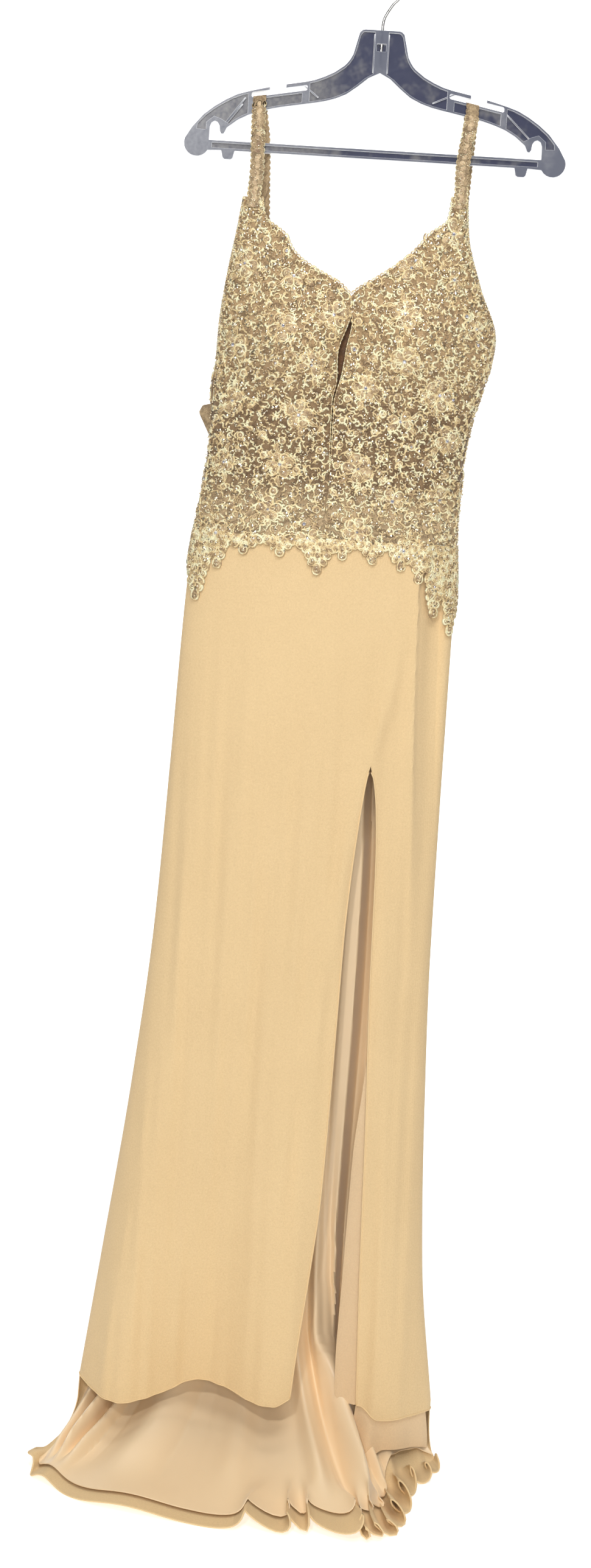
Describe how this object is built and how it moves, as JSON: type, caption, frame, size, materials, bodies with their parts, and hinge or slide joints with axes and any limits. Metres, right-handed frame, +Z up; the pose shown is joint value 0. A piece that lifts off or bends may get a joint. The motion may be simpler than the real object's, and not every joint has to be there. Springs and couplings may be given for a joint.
{
  "type": "evening gown on a hanger",
  "caption": "Floor-length evening gown with thin straps, deep V neck, pointed lace bodice, thigh slit and short ruffled train, hung on a clear plastic hanger.",
  "frame": {"origin": "the point on the inside of the hanger hook's crook that rests on a rod", "axes": "+Z up, +X to the right of the gown's front as it is looked at, +Y from the front of the gown towards its back"},
  "size_m": [0.5346, 0.2803, 1.7482],
  "materials": {
    "clear_plastic": "clear, glossy, moulded",
    "hook_steel": "bright plated wire",
    "beaded_lace": "corded pale gold lace with beads and sequins on tan mesh",
    "jersey": "matte champagne crepe jersey",
    "satin_lining": "smooth champagne lining with a soft sheen"
  },
  "bodies": {
    "root": {"hanger_body": "clear_plastic", "hanger_hook": "hook_steel", "bodice_front_left": "beaded_lace", "bodice_front_right": "beaded_lace", "bodice_back_left": "beaded_lace", "bodice_back_right": "beaded_lace", "strap_left": "beaded_lace", "strap_right": "beaded_lace", "skirt_front_main": "jersey", "skirt_front_side": "jersey", "skirt_back_left": "jersey", "skirt_back_right": "jersey", "slit_facing": "jersey", "side_lining": "satin_lining", "train_lining": "satin_lining"}
  },
  "joints": []
}
